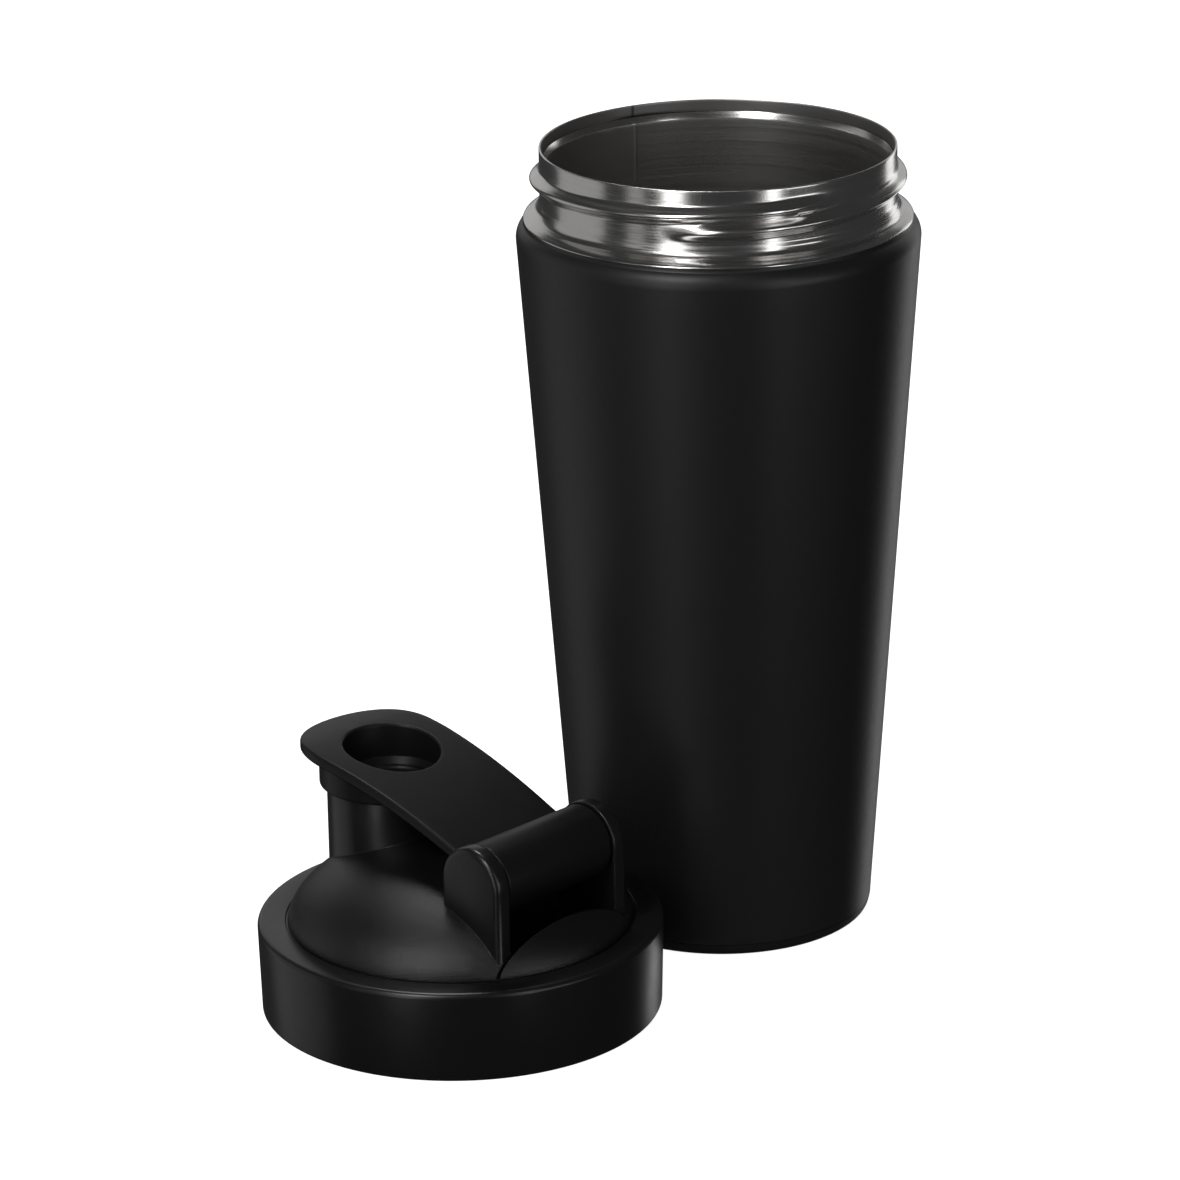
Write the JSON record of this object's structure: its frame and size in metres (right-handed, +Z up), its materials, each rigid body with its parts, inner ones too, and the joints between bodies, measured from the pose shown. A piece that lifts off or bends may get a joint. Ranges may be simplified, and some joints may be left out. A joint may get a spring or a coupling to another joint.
{
  "type": "protein shaker bottle",
  "caption": "Double-walled steel shaker bottle with a bare threaded neck, its black screw lid with flip cap standing beside it, and a wire mixing ball inside.",
  "frame": {"origin": "on the bottle's axis, at the middle of its flat base, in the plane that the bottle and the lid stand on", "axes": "+Z up along the bottle's axis; the lid stands towards -X and -Y of the bottle, which is the side the picture is taken from on -Y"},
  "size_m": [0.1494, 0.144, 0.1805],
  "materials": {
    "powder_coat": "matte black powder coat",
    "steel": "bright rolled stainless steel",
    "steel_wire": "polished stainless wire",
    "black_plastic": "satin and fine-textured black polypropylene",
    "silicone": "grey food-grade silicone"
  },
  "bodies": {
    "bottle": {"outer_shell": "powder_coat", "outer_base": "powder_coat", "liner_tube": "steel", "liner_base": "steel"},
    "ball": {"mixing_ball": "steel_wire"},
    "seal": {"lid_gasket": "silicone"},
    "lid": {"lid_body": "black_plastic"},
    "cap": {"flip_cap": "black_plastic"}
  },
  "joints": [
    {"name": "ball_hop", "type": "slide", "parent": "bottle", "child": "ball", "axis": [0, 0, 1], "range_m": [0, 0.1]},
    {"name": "lid_lift", "type": "slide", "parent": "bottle", "child": "seal", "axis": [-0.1157, -0.1052, 0.9877], "range_m": [0, 0.12]},
    {"name": "lid_turn", "type": "hinge", "parent": "seal", "child": "lid", "pos_m": [-0.0595, -0.0541, 0], "axis": [0, 0, 1], "range_deg": [-215, 25]},
    {"name": "cap_flip", "type": "hinge", "parent": "lid", "child": "cap", "pos_m": [-0.04281, -0.07022, 0.0394], "axis": [0.6947, 0.7193, 0], "range_deg": [0, 165]}
  ]
}
